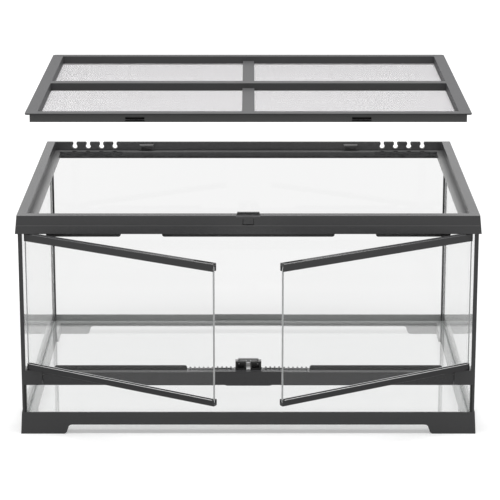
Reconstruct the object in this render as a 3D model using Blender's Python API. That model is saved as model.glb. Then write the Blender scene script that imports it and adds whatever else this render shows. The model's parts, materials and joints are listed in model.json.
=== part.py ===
"""Glass terrarium with two hinged front doors, a lift-off screen lid and closable cable inlets.

Metres, +Z up. X runs to the right and Y to the back, as seen from the front. The cabinet is
modelled round its own centre line, and one empty then centres the whole object on the origin.
Doors stand ajar and the lid is lifted off, as on display.
"""

import math

import bmesh
import bpy

MM = 0.001

# Glass tank
GLASS_WIDTH = 600 * MM
GLASS_DEPTH = 450 * MM
CABINET_HEIGHT = 300 * MM
GLASS = 4 * MM
GAP = 0.3 * MM

# Base frame
BASE_HEIGHT = 29.7 * MM
BASE_RIM_OUT = 2.3 * MM
BASE_FLARE = 1.6 * MM
GLASS_SEAT = 17 * MM
BASE_LEDGE = 14 * MM
FOOT_HEIGHT = 12.5 * MM
FOOT_LENGTH = 62 * MM
FOOT_ROUND = 5 * MM
FOOT_SLANT = 1.2 * MM

# Top frame
TOP_FRAME_HEIGHT = 24 * MM
TOP_RIM_OUT = 2.3 * MM
TOP_FLARE = 2.3 * MM
SIDE_BAND = 12.3 * MM
FRONT_BAND = 13.1 * MM
REAR_BAND = 4.6 * MM
LID_SEAT_DEPTH = 13 * MM
LID_SEAT_WIDTH = 9 * MM
REAR_SEAT_WIDTH = 11 * MM
LID_SEAT_THICKNESS = 5.6 * MM
WALL_SETBACK = 5.4 * MM
REAR_SETBACK = 7.4 * MM
SOCKET_DEPTH = 8 * MM
FRAME_ROUND = 1.5 * MM

# Door stops under the front rail
STOP_DROP = 6.6 * MM
STOP_THICKNESS = 2.2 * MM
STOP_MIDDLE = 113 * MM
STOP_BREAK = 54 * MM
STOP_END = 265 * MM
STOP_ROUND = 3 * MM

# Cable notches and the sliders that close them
NOTCH_INSET = 39.5 * MM
NOTCH_PITCH = 20 * MM
NOTCH_COUNT = 4
NOTCH_DROP = 6.7 * MM
NOTCH_RADIUS = 3.65 * MM
NOTCH_NECK = 4.6 * MM
NOTCH_CHAMFER = 1.2 * MM
INLET_RADIUS = 3.6 * MM
INLET_BACK = 1.7 * MM
SLIDER_THICKNESS = 3 * MM
SLIDER_SHELF = 1.2 * MM
SLIDER_END = 11.5 * MM
GRIP_WIDTH = 3 * MM
GRIP_HEIGHT = 1 * MM
GRIP_PITCH = 6 * MM

# Tabs on the rear wall that the lid hooks under
TAB_CENTRE = 153 * MM
TAB_WIDTH = 20 * MM
TAB_THICKNESS = 2.6 * MM
TAB_DROP = 3.7 * MM
TAB_CHEEK = 1.6 * MM
TAB_CHEEK_DEPTH = 7.6 * MM

# Lid latch on the front rail
LATCH_WIDTH = 30 * MM
LATCH_DEPTH = 5.6 * MM
LATCH_THICKNESS = 2 * MM
LATCH_LEAN = 0.7 * MM
LATCH_TRAVEL = 6 * MM
LATCH_SET_BACK = 0.6 * MM
LATCH_STEM = 8 * MM
LATCH_STEM_DEPTH = 1.9 * MM
LATCH_STEM_DROP = 2.6 * MM
THUMB_WIDTH = 32 * MM
THUMB_DROP = 1.6 * MM
MARK_WIDTH = 15 * MM
MARK_HEIGHT = 7.9 * MM
MARK_DROP = 4.4 * MM
MARK_LINE = 1.2 * MM
MARK_DEPTH = 1.2 * MM

# Lid
LID_CLEARANCE = 0.7 * MM
LID_RAIL = 15.5 * MM
LID_PLATE = 1.8 * MM
LID_WALL = 2 * MM
LID_SKIRT_INSET = 5.8 * MM
LID_ROUND = 4 * MM
LID_LIFT = 133 * MM
LONG_BAR = 17 * MM
CROSS_BAR = 16.5 * MM
CROSS_BAR_DROP = 6.8 * MM
SCREEN_DROP = 10.8 * MM
SCREEN_THICKNESS = 0.6 * MM
SCREEN_STRIP = 3.8 * MM
SCREEN_COLUMNS = 10
SCREEN_ROWS = 7
RETAINER_THICKNESS = 0.9 * MM
LID_SLOT_CENTRE = 147 * MM
LID_SLOT_WIDTH = 25 * MM
LID_SLOT_HEIGHT = 5.5 * MM
LID_SLOT_DROP = 4.1 * MM

# Sill on the lower front glass
FRONT_PROUD = 1.5 * MM
SILL_BOTTOM = 67.7 * MM
SILL_HEIGHT = 18.5 * MM
SILL_DEPTH = 20 * MM
SILL_PLATE = 4 * MM
SILL_GRIP = 14 * MM
SILL_LIP = 1.7 * MM
SILL_INNER_RISE = 5 * MM
SILL_END_LENGTH = 27 * MM
SILL_END_RISE = 1.9 * MM
SILL_SEAM = 1 * MM
SILL_SEAM_HEIGHT = 11 * MM
SILL_SEAM_DEPTH = 1.3 * MM
BADGE_WIDTH = 62 * MM
BADGE_DROP = 1 * MM
BADGE_SLOPE = 2 * MM
SILL_STOP_START = 80.5 * MM
SILL_STOP_END = 257 * MM
SILL_STOP_HEIGHT = 6.4 * MM

# Vent grilles in the sill, either side of the lock
GRILLE_START = 19 * MM
GRILLE_DEPTH = 8.5 * MM
GRILLE_THICKNESS = 3.2 * MM
GRILLE_PITCH = 5.9 * MM
GRILLE_COUNT = 10
RIB_WIDTH = 3.1 * MM
RIB_HEIGHT = 1.8 * MM
RIB_SLOPE = 0.7 * MM
GRILLE_BORDER = 1.6 * MM

# Lock at the middle of the sill
LOCK_HALF_WIDTH = 17.2 * MM
LOCK_CHANNEL = 6.2 * MM
LOCK_HEIGHT = 11.4 * MM
LOCK_DEPTH = 9 * MM
WINDOW_INNER = 5 * MM
WINDOW_OUTER = 14.9 * MM
WINDOW_RISE = 1.7 * MM
WINDOW_HEIGHT = 7.1 * MM
WINDOW_DEPTH = 6.4 * MM
RAMP_HEIGHT = 8.6 * MM
RAMP_TOP = 2 * MM
RAMP_WALL = 1.2 * MM
RAMP_WALL_MARGIN = 1 * MM
CAP_WIDTH = 26.8 * MM
CAP_THICKNESS = 1.5 * MM
CAP_DEPTH = 3.8 * MM
CAP_SETBACK = 0.6 * MM
LOCK_TRAVEL = 1.5 * MM
TONGUE_WIDTH = 1.8 * MM
TONGUE_THICKNESS = 1.2 * MM
TONGUE_BACK = 2.7 * MM
TONGUE_REST_GAP = 0.4 * MM
CAP_BOSS_WIDTH = 5.4 * MM
CAP_BOSS_DROP = 3 * MM

# Doors
DOOR_THICKNESS = 8 * MM
DOOR_CLEARANCE = 0.5 * MM
HINGE_INSET = 11 * MM
HINGE_END = 4.4 * MM
HINGE_ROUND = 3.4 * MM
DOOR_MIDDLE_GAP = 1.4 * MM
DOOR_OPEN_DEGREES = 31
TOP_RAIL_HEIGHT = 10.5 * MM
BOTTOM_RAIL_HEIGHT = 8.2 * MM
RAIL_WEB = 3.5 * MM
RAIL_CHAMFER = 0.8 * MM
DOOR_GLASS_INSET = 1 * MM
PIN_RADIUS = 1.5 * MM
PIN_REACH = 4 * MM
STRIKE_LENGTH = 27 * MM
STRIKE_WIDTH = 4.6 * MM
STRIKE_THICKNESS = 0.7 * MM
STRIKE_END = 3 * MM
HOOK_INNER = 8.6 * MM
HOOK_WIDTH = 5.4 * MM
HOOK_THICKNESS = 2 * MM
HOOK_RISE = 1 * MM
HOOK_HEAD = 1.3 * MM
HOOK_HEAD_LENGTH = 1.2 * MM

# Corner strips and silicone beads
POST_FACE = 5.5 * MM
POST_WRAP = 12 * MM
POST_LEG = 0.8 * MM
SEAL_SIZE = 2.6 * MM

# Heights and planes that several pieces share
BASE_TOP = BASE_HEIGHT
BOTTOM_GLASS_TOP = GLASS_SEAT + GLASS
RAIL_UNDERSIDE = CABINET_HEIGHT - TOP_FRAME_HEIGHT
SOCKET_TOP = RAIL_UNDERSIDE + SOCKET_DEPTH
GLASS_TOP = SOCKET_TOP - GAP
HALF_WIDTH = GLASS_WIDTH / 2
HALF_DEPTH = GLASS_DEPTH / 2
FRONT_FACE = -HALF_DEPTH - FRONT_PROUD
SILL_TOP = SILL_BOTTOM + SILL_HEIGHT
SILL_END_TOP = SILL_TOP + SILL_END_RISE
SILL_BACK = FRONT_FACE + SILL_DEPTH
STOP_FACE = FRONT_FACE + DOOR_THICKNESS + GAP
LID_SEAT = CABINET_HEIGHT - LID_SEAT_DEPTH
REBATE_SIDE = HALF_WIDTH + TOP_RIM_OUT - SIDE_BAND
REBATE_FRONT = -HALF_DEPTH - TOP_RIM_OUT + FRONT_BAND
REBATE_REAR = HALF_DEPTH + TOP_RIM_OUT - REAR_BAND
REAR_SEAT_EDGE = REBATE_REAR - REAR_SEAT_WIDTH
HINGE_X = HALF_WIDTH - HINGE_INSET
HINGE_Y = FRONT_FACE + DOOR_THICKNESS / 2
DOOR_TOP = RAIL_UNDERSIDE - DOOR_CLEARANCE
DOOR_BOTTOM = SILL_END_TOP + DOOR_CLEARANCE
LOWER_GLASS_FRONT = FRONT_FACE + SILL_LIP + GAP
LOWER_GLASS_TOP = SILL_BOTTOM + SILL_GRIP
NOTCH_LAST = HALF_WIDTH - NOTCH_INSET
NOTCH_FIRST = NOTCH_LAST - NOTCH_PITCH * (NOTCH_COUNT - 1)

# How far cutters reach past a face, and how deep joined blocks sink in
PAST = 5 * MM
BITE = 1 * MM

# Base colours are linear, with roughness, metallic value and transmission
MATERIALS = {
    "frame_plastic": ((0.060, 0.060, 0.062), 0.45, 0.0, 0.0),
    "lid_plastic": ((0.060, 0.060, 0.062), 0.45, 0.0, 0.0),
    "rail_plastic": ((0.052, 0.052, 0.054), 0.40, 0.0, 0.0),
    "lock_plastic": ((0.016, 0.016, 0.016), 0.35, 0.0, 0.0),
    "cap_plastic": ((0.090, 0.090, 0.092), 0.45, 0.0, 0.0),
    "tank_glass": ((0.90, 0.96, 0.93), 0.02, 0.0, 1.0),
    "silicone": ((0.030, 0.030, 0.030), 0.55, 0.0, 0.0),
    "screen_wire": ((0.62, 0.62, 0.63), 0.40, 0.8, 0.0),
    "steel": ((0.55, 0.55, 0.56), 0.25, 1.0, 0.0),
    "dark_steel": ((0.02, 0.02, 0.02), 0.40, 1.0, 0.0),
}


def clear_scene():
    for obj in list(bpy.data.objects):
        bpy.data.objects.remove(obj, do_unlink=True)


def make_material(name):
    color, roughness, metallic, transmission = MATERIALS[name]
    material = bpy.data.materials.get(name)
    if material is None:
        material = bpy.data.materials.new(name)
        material.use_nodes = True
        shader = material.node_tree.nodes["Principled BSDF"]
        shader.inputs["Base Color"].default_value = (*color, 1.0)
        shader.inputs["Roughness"].default_value = roughness
        shader.inputs["Metallic"].default_value = metallic
        shader.inputs["Transmission Weight"].default_value = transmission
    return material


def empty(name, location, parent=None, turn=0.0):
    anchor = bpy.data.objects.new(name, None)
    anchor.location = location
    anchor.rotation_euler = (0.0, 0.0, turn)
    anchor.parent = parent
    bpy.context.scene.collection.objects.link(anchor)
    return anchor


def prism(outline, axis, low, high):
    """A closed outline extruded along an axis. Its points are (y, z), (x, z) or (x, y)."""
    place = {
        "X": lambda u, v, w: (w, u, v),
        "Y": lambda u, v, w: (u, w, v),
        "Z": lambda u, v, w: (u, v, w),
    }[axis]
    count = len(outline)
    points = [place(u, v, level) for level in (low, high) for u, v in outline]
    faces = [tuple(range(count)), tuple(range(count, 2 * count))]
    for i in range(count):
        j = (i + 1) % count
        faces.append((i, j, count + j, count + i))
    return points, faces


def box(x, y, z):
    return prism([(x[0], y[0]), (x[1], y[0]), (x[1], y[1]), (x[0], y[1])], "Z", z[0], z[1])


def arc(center, radius, start, end, steps):
    """Points on an arc, with the angles in degrees."""
    found = []
    for i in range(steps + 1):
        angle = math.radians(start + (end - start) * i / steps)
        found.append((center[0] + radius * math.cos(angle), center[1] + radius * math.sin(angle)))
    return found


def cylinder(center, radius, z, steps=20):
    return prism(arc(center, radius, 0, 360 - 360 / steps, steps - 1), "Z", z[0], z[1])


def rectangle_loop(half_width, front, rear, radius, steps):
    """Corners of a rectangle in plan, each rounded by an arc."""
    loop = []
    corners = (
        (half_width - radius, front + radius, -90),
        (half_width - radius, rear - radius, 0),
        (-half_width + radius, rear - radius, 90),
        (-half_width + radius, front + radius, 180),
    )
    for x, y, start in corners:
        loop += arc((x, y), radius, start, start + 90, steps)
    return loop


def ring(profile, steps=3):
    """A closed profile carried round a rectangle. Its rows are half width, front, rear, z, radius."""
    points = []
    for half_width, front, rear, z, radius in profile:
        points += [(x, y, z) for x, y in rectangle_loop(half_width, front, rear, radius, steps)]
    across = 4 * (steps + 1)
    faces = []
    for row in range(len(profile)):
        below = row * across
        above = (row + 1) % len(profile) * across
        for i in range(across):
            j = (i + 1) % across
            faces.append((below + i, below + j, above + j, above + i))
    return points, faces


def net(x_edges, y_edges, z, openings):
    """A flat plate on a grid of lines, without the cells in openings."""
    columns = len(x_edges)
    rows = len(y_edges)
    points = [(x, y, level) for level in z for y in y_edges for x in x_edges]
    lift = columns * rows
    cells = {(i, j) for i in range(columns - 1) for j in range(rows - 1)} - openings
    faces = []
    for i, j in sorted(cells):
        corner = j * columns + i
        square = (corner, corner + 1, corner + columns + 1, corner + columns)
        faces.append(tuple(reversed(square)))
        faces.append(tuple(lift + p for p in square))
        sides = (((i, j - 1), 0, 1), ((i + 1, j), 1, 2), ((i, j + 1), 2, 3), ((i - 1, j), 3, 0))
        for neighbour, a, b in sides:
            if neighbour not in cells:
                faces.append((square[a], square[b], lift + square[b], lift + square[a]))
    return points, faces


def solid(name, shapes, parent, material=None, smooth=False):
    """One object from closed shapes. Without a material it is a cutter or an added block."""
    mesh = bpy.data.meshes.new(name)
    points = []
    faces = []
    for shape_points, shape_faces in shapes:
        faces += [tuple(len(points) + p for p in face) for face in shape_faces]
        points += shape_points
    mesh.from_pydata(points, [], faces)
    work = bmesh.new()
    work.from_mesh(mesh)
    loose = [vertex for vertex in work.verts if not vertex.link_faces]
    bmesh.ops.delete(work, geom=loose, context="VERTS")
    bmesh.ops.recalc_face_normals(work, faces=work.faces)
    work.to_mesh(mesh)
    work.free()
    if smooth:
        mesh.shade_smooth()
        mesh.set_sharp_from_angle(angle=math.radians(40))
    obj = bpy.data.objects.new(name, mesh)
    obj.parent = parent
    bpy.context.scene.collection.objects.link(obj)
    if material is None:
        obj.hide_render = True
        obj.display_type = "WIRE"
    else:
        mesh.materials.append(make_material(material))
    return obj


def cut(target, shapes, name):
    cutter = solid(f"{target.name}_{name}", shapes, target.parent)
    modifier = target.modifiers.new(name, "BOOLEAN")
    modifier.operation = "DIFFERENCE"
    modifier.object = cutter


def join(target, shapes, name):
    block = solid(f"{target.name}_{name}", shapes, target.parent)
    modifier = target.modifiers.new(name, "BOOLEAN")
    modifier.operation = "UNION"
    modifier.object = block


def span(side, near, far):
    """The x range from near to far on one side, in rising order."""
    return tuple(sorted((side * near, side * far)))


def mirrored(side, outline):
    return [(side * u, v) for u, v in outline]


# Base frame


def foot_gap(half_gap):
    """The space between two feet: rounded under the rail, and rounded out at the floor."""
    right = [(half_gap + FOOT_ROUND + PAST, -PAST), (half_gap + FOOT_ROUND, 0)]
    right += arc((half_gap + FOOT_ROUND, FOOT_ROUND), FOOT_ROUND, -90, -180, 5)[1:]
    top = half_gap - FOOT_SLANT - FOOT_ROUND
    right += arc((top, FOOT_HEIGHT - FOOT_ROUND), FOOT_ROUND, 0, 90, 5)
    left = [(-u, v) for u, v in reversed(right)]
    return right + left


def base_frame(parent):
    bottom_out = BASE_RIM_OUT + BASE_FLARE
    seat = GLASS_SEAT - GAP
    rows = (
        (bottom_out, 0, FRAME_ROUND),
        (BASE_RIM_OUT, BASE_TOP, FRAME_ROUND),
        (GAP, BASE_TOP, GAP),
        (GAP, seat, GAP),
        (-BASE_LEDGE, seat, GAP),
        (-BASE_LEDGE, 0, GAP),
    )
    profile = [
        (HALF_WIDTH + out, -HALF_DEPTH - out, HALF_DEPTH + out, z, radius) for out, z, radius in rows
    ]
    frame = solid("base_frame", [ring(profile)], parent, "frame_plastic")
    across = HALF_WIDTH + bottom_out
    along = HALF_DEPTH + bottom_out
    under_front = prism(foot_gap(across - FOOT_LENGTH), "Y", -along - PAST, along + PAST)
    under_sides = prism(foot_gap(along - FOOT_LENGTH), "X", -across - PAST, across + PAST)
    cut(frame, [under_front], "front_gap")
    cut(frame, [under_sides], "side_gap")


# Glass


def glass_panels(parent):
    side_face = HALF_WIDTH - GLASS
    rear_face = HALF_DEPTH - GLASS
    lower_back = LOWER_GLASS_FRONT + GLASS
    between = (-side_face + GAP, side_face - GAP)
    deep = (-HALF_DEPTH, HALF_DEPTH)
    tall = (GLASS_SEAT, GLASS_TOP)
    panels = {
        "bottom_glass": (between, (lower_back + GAP, rear_face - GAP), (GLASS_SEAT, BOTTOM_GLASS_TOP)),
        "rear_glass": (between, (rear_face, HALF_DEPTH), tall),
        "left_glass": ((-HALF_WIDTH, -side_face), deep, tall),
        "right_glass": ((side_face, HALF_WIDTH), deep, tall),
        "lower_front_glass": (between, (LOWER_GLASS_FRONT, lower_back), (GLASS_SEAT, LOWER_GLASS_TOP)),
    }
    for name, (x, y, z) in panels.items():
        solid(name, [box(x, y, z)], parent, "tank_glass")


def rear_seals(parent):
    """Beads of dark silicone in the two rear corners."""
    corner_x = HALF_WIDTH - GLASS - GAP
    corner_y = HALF_DEPTH - GLASS - GAP
    for side, name in ((-1, "rear_left_seal"), (1, "rear_right_seal")):
        bead = [(corner_x, corner_y), (corner_x - SEAL_SIZE, corner_y)]
        bead += arc((corner_x - SEAL_SIZE, corner_y - SEAL_SIZE), SEAL_SIZE / 2, 90, 0, 3)
        bead.append((corner_x, corner_y - SEAL_SIZE))
        shape = prism(mirrored(side, bead), "Z", BOTTOM_GLASS_TOP + GAP, RAIL_UNDERSIDE - GAP)
        solid(name, [shape], parent, "silicone")


def corner_posts(parent):
    """Dark strips that wrap the front edges of the side glass, above and below the sill."""
    outer = HALF_WIDTH + GAP + POST_LEG
    back = -HALF_DEPTH - GAP
    outline = [
        (outer - POST_FACE, FRONT_FACE),
        (outer, FRONT_FACE),
        (outer, FRONT_FACE + POST_WRAP),
        (outer - POST_LEG, FRONT_FACE + POST_WRAP),
        (outer - POST_LEG, back),
        (outer - POST_FACE, back),
    ]
    pieces = (
        ("post", SILL_END_TOP + GAP, RAIL_UNDERSIDE - GAP),
        ("lower_post", BASE_TOP + GAP, SILL_BOTTOM - GAP),
    )
    for side, word in ((-1, "left"), (1, "right")):
        for name, low, high in pieces:
            shape = prism(mirrored(side, outline), "Z", low, high)
            solid(f"{word}_{name}", [shape], parent, "frame_plastic")


# Top frame


def top_frame(parent):
    foot = HALF_WIDTH + TOP_RIM_OUT + TOP_FLARE
    foot_y = HALF_DEPTH + TOP_RIM_OUT + TOP_FLARE
    seat_side = REBATE_SIDE - LID_SEAT_WIDTH
    seat_front = REBATE_FRONT + LID_SEAT_WIDTH
    seat_bottom = LID_SEAT - LID_SEAT_THICKNESS
    wall_side = seat_side + WALL_SETBACK
    wall_front = seat_front - WALL_SETBACK
    wall_rear = REAR_SEAT_EDGE + REAR_SETBACK
    rim = HALF_WIDTH + TOP_RIM_OUT
    rim_y = HALF_DEPTH + TOP_RIM_OUT
    profile = [
        (foot, -foot_y, foot_y, RAIL_UNDERSIDE, FRAME_ROUND),
        (rim, -rim_y, rim_y, CABINET_HEIGHT, FRAME_ROUND),
        (REBATE_SIDE, REBATE_FRONT, REBATE_REAR, CABINET_HEIGHT, FRAME_ROUND),
        (REBATE_SIDE, REBATE_FRONT, REBATE_REAR, LID_SEAT, FRAME_ROUND),
        (seat_side, seat_front, REAR_SEAT_EDGE, LID_SEAT, FRAME_ROUND),
        (seat_side, seat_front, REAR_SEAT_EDGE, seat_bottom, FRAME_ROUND),
        (wall_side, wall_front, wall_rear, seat_bottom, FRAME_ROUND),
        (wall_side, wall_front, wall_rear, RAIL_UNDERSIDE, FRAME_ROUND),
    ]
    frame = solid("top_frame", [ring(profile)], parent, "frame_plastic")
    cut(frame, [glass_socket()], "glass_socket")
    join(frame, door_stops(), "door_stops")
    hinge_bores = [
        cylinder(
            (side * HINGE_X, HINGE_Y),
            PIN_RADIUS + GAP,
            (RAIL_UNDERSIDE - PAST, RAIL_UNDERSIDE + PIN_REACH + GAP),
        )
        for side in (-1, 1)
    ]
    cut(frame, hinge_bores, "hinge_bores")
    cut(frame, [keyhole(x) for x in notch_places()], "cable_notches")
    cut(frame, slider_recesses(), "slider_recesses")
    inlets = [
        cylinder((x, inlet_y()), INLET_RADIUS, (seat_bottom - BITE, LID_SEAT + PAST), 16)
        for x in notch_places()
    ]
    cut(frame, inlets, "inlets")
    join(frame, rear_tabs(), "rear_tabs")
    cut(frame, latch_seat(), "latch_seat")
    cut(frame, [front_mark()], "front_mark")


def glass_socket():
    """A groove under the frame for the left, rear and right glass."""
    outer = HALF_WIDTH + GAP
    inner = HALF_WIDTH - GLASS - GAP
    front = -HALF_DEPTH - GAP
    rear = HALF_DEPTH + GAP
    inner_rear = HALF_DEPTH - GLASS - GAP
    outline = [
        (-outer, front),
        (-outer, rear),
        (outer, rear),
        (outer, front),
        (inner, front),
        (inner, inner_rear),
        (-inner, inner_rear),
        (-inner, front),
    ]
    return prism(outline, "Z", RAIL_UNDERSIDE - PAST, SOCKET_TOP)


def door_stops():
    """Lips under the front rail that stop the doors: one in the middle and one on each side."""
    low = RAIL_UNDERSIDE - STOP_DROP
    high = RAIL_UNDERSIDE + BITE
    side_start = STOP_MIDDLE + STOP_BREAK
    ranges = ((-STOP_END, -side_start), (-STOP_MIDDLE, STOP_MIDDLE), (side_start, STOP_END))
    return [stop_lip(start, end, high, low) for start, end in ranges]


def stop_lip(start, end, root, edge):
    """A flat lip from its root to its free edge, with the two corners of that edge rounded."""
    out = 1 if edge > root else -1
    level = edge - out * STOP_ROUND
    outline = [(start, root)]
    outline += arc((start + STOP_ROUND, level), STOP_ROUND, 180, 180 - out * 90, 3)
    outline += arc((end - STOP_ROUND, level), STOP_ROUND, out * 90, 0, 3)
    outline.append((end, root))
    return prism(outline, "Y", STOP_FACE, STOP_FACE + STOP_THICKNESS)


def notch_places():
    """The middles of the cable notches, on both sides."""
    return [side * (NOTCH_FIRST + NOTCH_PITCH * i) for side in (-1, 1) for i in range(NOTCH_COUNT)]


def inlet_y():
    """The inlet holes stand a little behind the face that the slider runs on."""
    return REAR_SEAT_EDGE + SLIDER_THICKNESS + GAP + INLET_BACK


def keyhole(x):
    """A cable notch through the rear wall: a round hole, a neck and a chamfered mouth."""
    z = CABINET_HEIGHT - NOTCH_DROP
    half_neck = NOTCH_NECK / 2
    open_angle = math.degrees(math.asin(half_neck / NOTCH_RADIUS))
    mouth = half_neck + NOTCH_CHAMFER
    outline = arc((x, z), NOTCH_RADIUS, 90 - open_angle, open_angle - 270, 14)
    outline += [
        (x - half_neck, CABINET_HEIGHT - NOTCH_CHAMFER),
        (x - mouth, CABINET_HEIGHT),
        (x - mouth, CABINET_HEIGHT + PAST),
        (x + mouth, CABINET_HEIGHT + PAST),
        (x + mouth, CABINET_HEIGHT),
        (x + half_neck, CABINET_HEIGHT - NOTCH_CHAMFER),
    ]
    rear = HALF_DEPTH + TOP_RIM_OUT + TOP_FLARE
    return prism(outline, "Y", REBATE_REAR - BITE, rear + PAST)


def slider_ends():
    """The slider's near and far ends at rest, measured from the middle of the object."""
    return NOTCH_FIRST - SLIDER_END, NOTCH_LAST + SLIDER_END


def slider_recesses():
    """Steps in the rear ledge for the sliders, longer than they are by half a pitch of travel."""
    near, far = slider_ends()
    travel = NOTCH_PITCH / 2
    depth = (REAR_SEAT_EDGE - PAST, REAR_SEAT_EDGE + SLIDER_THICKNESS + GAP)
    height = (LID_SEAT - LID_SEAT_THICKNESS + SLIDER_SHELF, LID_SEAT + PAST)
    return [box(span(side, near - GAP, far + travel + GAP), depth, height) for side in (-1, 1)]


def rear_tabs():
    """Shelves with two cheeks on the rear wall."""
    top = CABINET_HEIGHT - TAB_DROP
    front = REBATE_REAR - LID_SKIRT_INSET
    half = TAB_WIDTH / 2
    outline = [
        (-half, top),
        (-half, top - TAB_CHEEK_DEPTH),
        (-half + TAB_CHEEK, top - TAB_CHEEK_DEPTH),
        (-half + TAB_CHEEK, top - TAB_THICKNESS),
        (half - TAB_CHEEK, top - TAB_THICKNESS),
        (half - TAB_CHEEK, top - TAB_CHEEK_DEPTH),
        (half, top - TAB_CHEEK_DEPTH),
        (half, top),
    ]
    return [
        prism([(side * TAB_CENTRE + u, v) for u, v in outline], "Y", front, REBATE_REAR + BITE)
        for side in (-1, 1)
    ]


def latch_front():
    """The front edge of the lid latch at rest."""
    return REBATE_FRONT - LATCH_SET_BACK - LATCH_DEPTH


def latch_seat():
    """A thumb slope at the front edge, and a slot that the latch's stem slides in."""
    front = -HALF_DEPTH - TOP_RIM_OUT - PAST
    edge = latch_front() - GAP
    half = THUMB_WIDTH / 2
    drop = THUMB_DROP * (edge - front) / (edge + HALF_DEPTH + TOP_RIM_OUT)
    slope = [
        (edge, CABINET_HEIGHT),
        (front, CABINET_HEIGHT - drop),
        (front, CABINET_HEIGHT + PAST),
        (edge, CABINET_HEIGHT + PAST),
    ]
    stem_half = LATCH_STEM / 2 + GAP
    stem_front, stem_back = latch_stem()
    slot = box(
        (-stem_half, stem_half),
        (stem_front - GAP, stem_back + LATCH_TRAVEL + GAP),
        (CABINET_HEIGHT - LATCH_STEM_DROP, CABINET_HEIGHT + PAST),
    )
    return [prism(slope, "X", -half, half), slot]


def latch_stem():
    """The front and back of the stem under the latch."""
    front = latch_front() + BITE
    return front, front + LATCH_STEM_DEPTH


def front_mark():
    """A shallow U on the face of the front rail, under the latch."""
    half = MARK_WIDTH / 2
    top = CABINET_HEIGHT - MARK_DROP
    low = top - MARK_HEIGHT
    outline = [
        (-half, top),
        (-half, low),
        (half, low),
        (half, top),
        (half - MARK_LINE, top),
        (half - MARK_LINE, low + MARK_LINE),
        (-half + MARK_LINE, low + MARK_LINE),
        (-half + MARK_LINE, top),
    ]
    lean = TOP_FLARE * MARK_DROP / TOP_FRAME_HEIGHT
    face = -HALF_DEPTH - TOP_RIM_OUT - lean
    return prism(outline, "Y", face - PAST, face + MARK_DEPTH)


def lid_latch(parent):
    front = latch_front()
    half = LATCH_WIDTH / 2
    low = CABINET_HEIGHT + GAP
    high = low + LATCH_THICKNESS
    outline = [(-half, low), (half, low), (half - LATCH_LEAN, high), (-half + LATCH_LEAN, high)]
    anchor = empty("lid_latch_slide", (0, front, low), parent)
    plate = prism(outline, "Y", front, front + LATCH_DEPTH)
    latch = solid("lid_latch", [plate], parent, "lock_plastic")
    stem_low = CABINET_HEIGHT - LATCH_STEM_DROP + GAP
    stem = box((-LATCH_STEM / 2, LATCH_STEM / 2), latch_stem(), (stem_low, low + BITE))
    join(latch, [stem], "stem")
    hang_on(anchor, latch)


def inlet_sliders(parent):
    near, far = slider_ends()
    low = LID_SEAT - LID_SEAT_THICKNESS + SLIDER_SHELF + GAP
    high = LID_SEAT - GAP
    front = REAR_SEAT_EDGE
    back = front + SLIDER_THICKNESS
    depth = inlet_y() - back
    half_angle = math.degrees(math.acos(depth / INLET_RADIUS))
    middle = (near + far) / 2
    for side, word in ((-1, "left"), (1, "right")):
        outline = [(far, back), (far, front), (near, front), (near, back)]
        for i in range(NOTCH_COUNT):
            x = NOTCH_FIRST + NOTCH_PITCH * i
            outline += arc((x, inlet_y()), INLET_RADIUS, -90 - half_angle, -90 + half_angle, 8)
        anchor = empty(f"{word}_inlet_slide", (side * middle, back, low), parent)
        slider = solid(
            f"{word}_inlet_slider",
            [prism(mirrored(side, outline), "Z", low, high)],
            parent,
            "rail_plastic",
        )
        grip_places = [side * middle + step * GRIP_PITCH for step in (-1, 0, 1)]
        grips = [
            box(
                (x - GRIP_WIDTH / 2, x + GRIP_WIDTH / 2),
                (front - GRIP_HEIGHT, front + BITE),
                (low + GRIP_HEIGHT, high - GRIP_HEIGHT),
            )
            for x in grip_places
        ]
        join(slider, grips, "grips")
        hang_on(anchor, slider)


# Lid


def lid_outline(inset):
    return (
        REBATE_SIDE - LID_CLEARANCE - inset,
        REBATE_FRONT + LID_CLEARANCE + inset,
        REBATE_REAR - LID_CLEARANCE - inset,
    )


def lid_ring(rows):
    """A ring of the lid from rows of inset and z, with corners that follow the lid's."""
    profile = [(*lid_outline(inset), z, max(LID_ROUND - inset, GAP)) for inset, z in rows]
    return ring(profile)


def lid(parent):
    top = CABINET_HEIGHT - GAP
    under = top - LID_PLATE
    skirt_bottom = LID_SEAT + GAP
    screen_top = top - SCREEN_DROP
    wall_bottom = screen_top + GAP
    skirt_in = LID_SKIRT_INSET + LID_WALL
    rows = (
        (0, top),
        (LID_RAIL, top),
        (LID_RAIL, wall_bottom),
        (LID_RAIL - LID_WALL, wall_bottom),
        (LID_RAIL - LID_WALL, under),
        (skirt_in, under),
        (skirt_in, skirt_bottom),
        (LID_SKIRT_INSET, skirt_bottom),
        (LID_SKIRT_INSET, under),
        (0, under),
    )
    frame = solid("lid_frame", [lid_ring(rows)], parent, "lid_plastic")
    window_x, window_front, window_rear = lid_outline(LID_RAIL)
    middle = (window_front + window_rear) / 2
    join(frame, [long_bar(middle, window_x, top, under, wall_bottom)], "long_bar")
    cross = box(
        (-CROSS_BAR / 2, CROSS_BAR / 2),
        (window_front - BITE, window_rear + BITE),
        (wall_bottom, top - CROSS_BAR_DROP),
    )
    join(frame, [cross], "cross_bar")
    cut(frame, skirt_slots(under - LID_SLOT_DROP), "skirt_slots")
    lid_screen(parent, screen_top)
    retainer_top = screen_top - SCREEN_THICKNESS - GAP
    retainer_low = retainer_top - RETAINER_THICKNESS
    rows = (
        (skirt_in + GAP, retainer_low),
        (skirt_in + GAP, retainer_top),
        (LID_RAIL, retainer_top),
        (LID_RAIL, retainer_low),
    )
    solid("lid_retainer", [lid_ring(rows)], parent, "lid_plastic")


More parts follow.
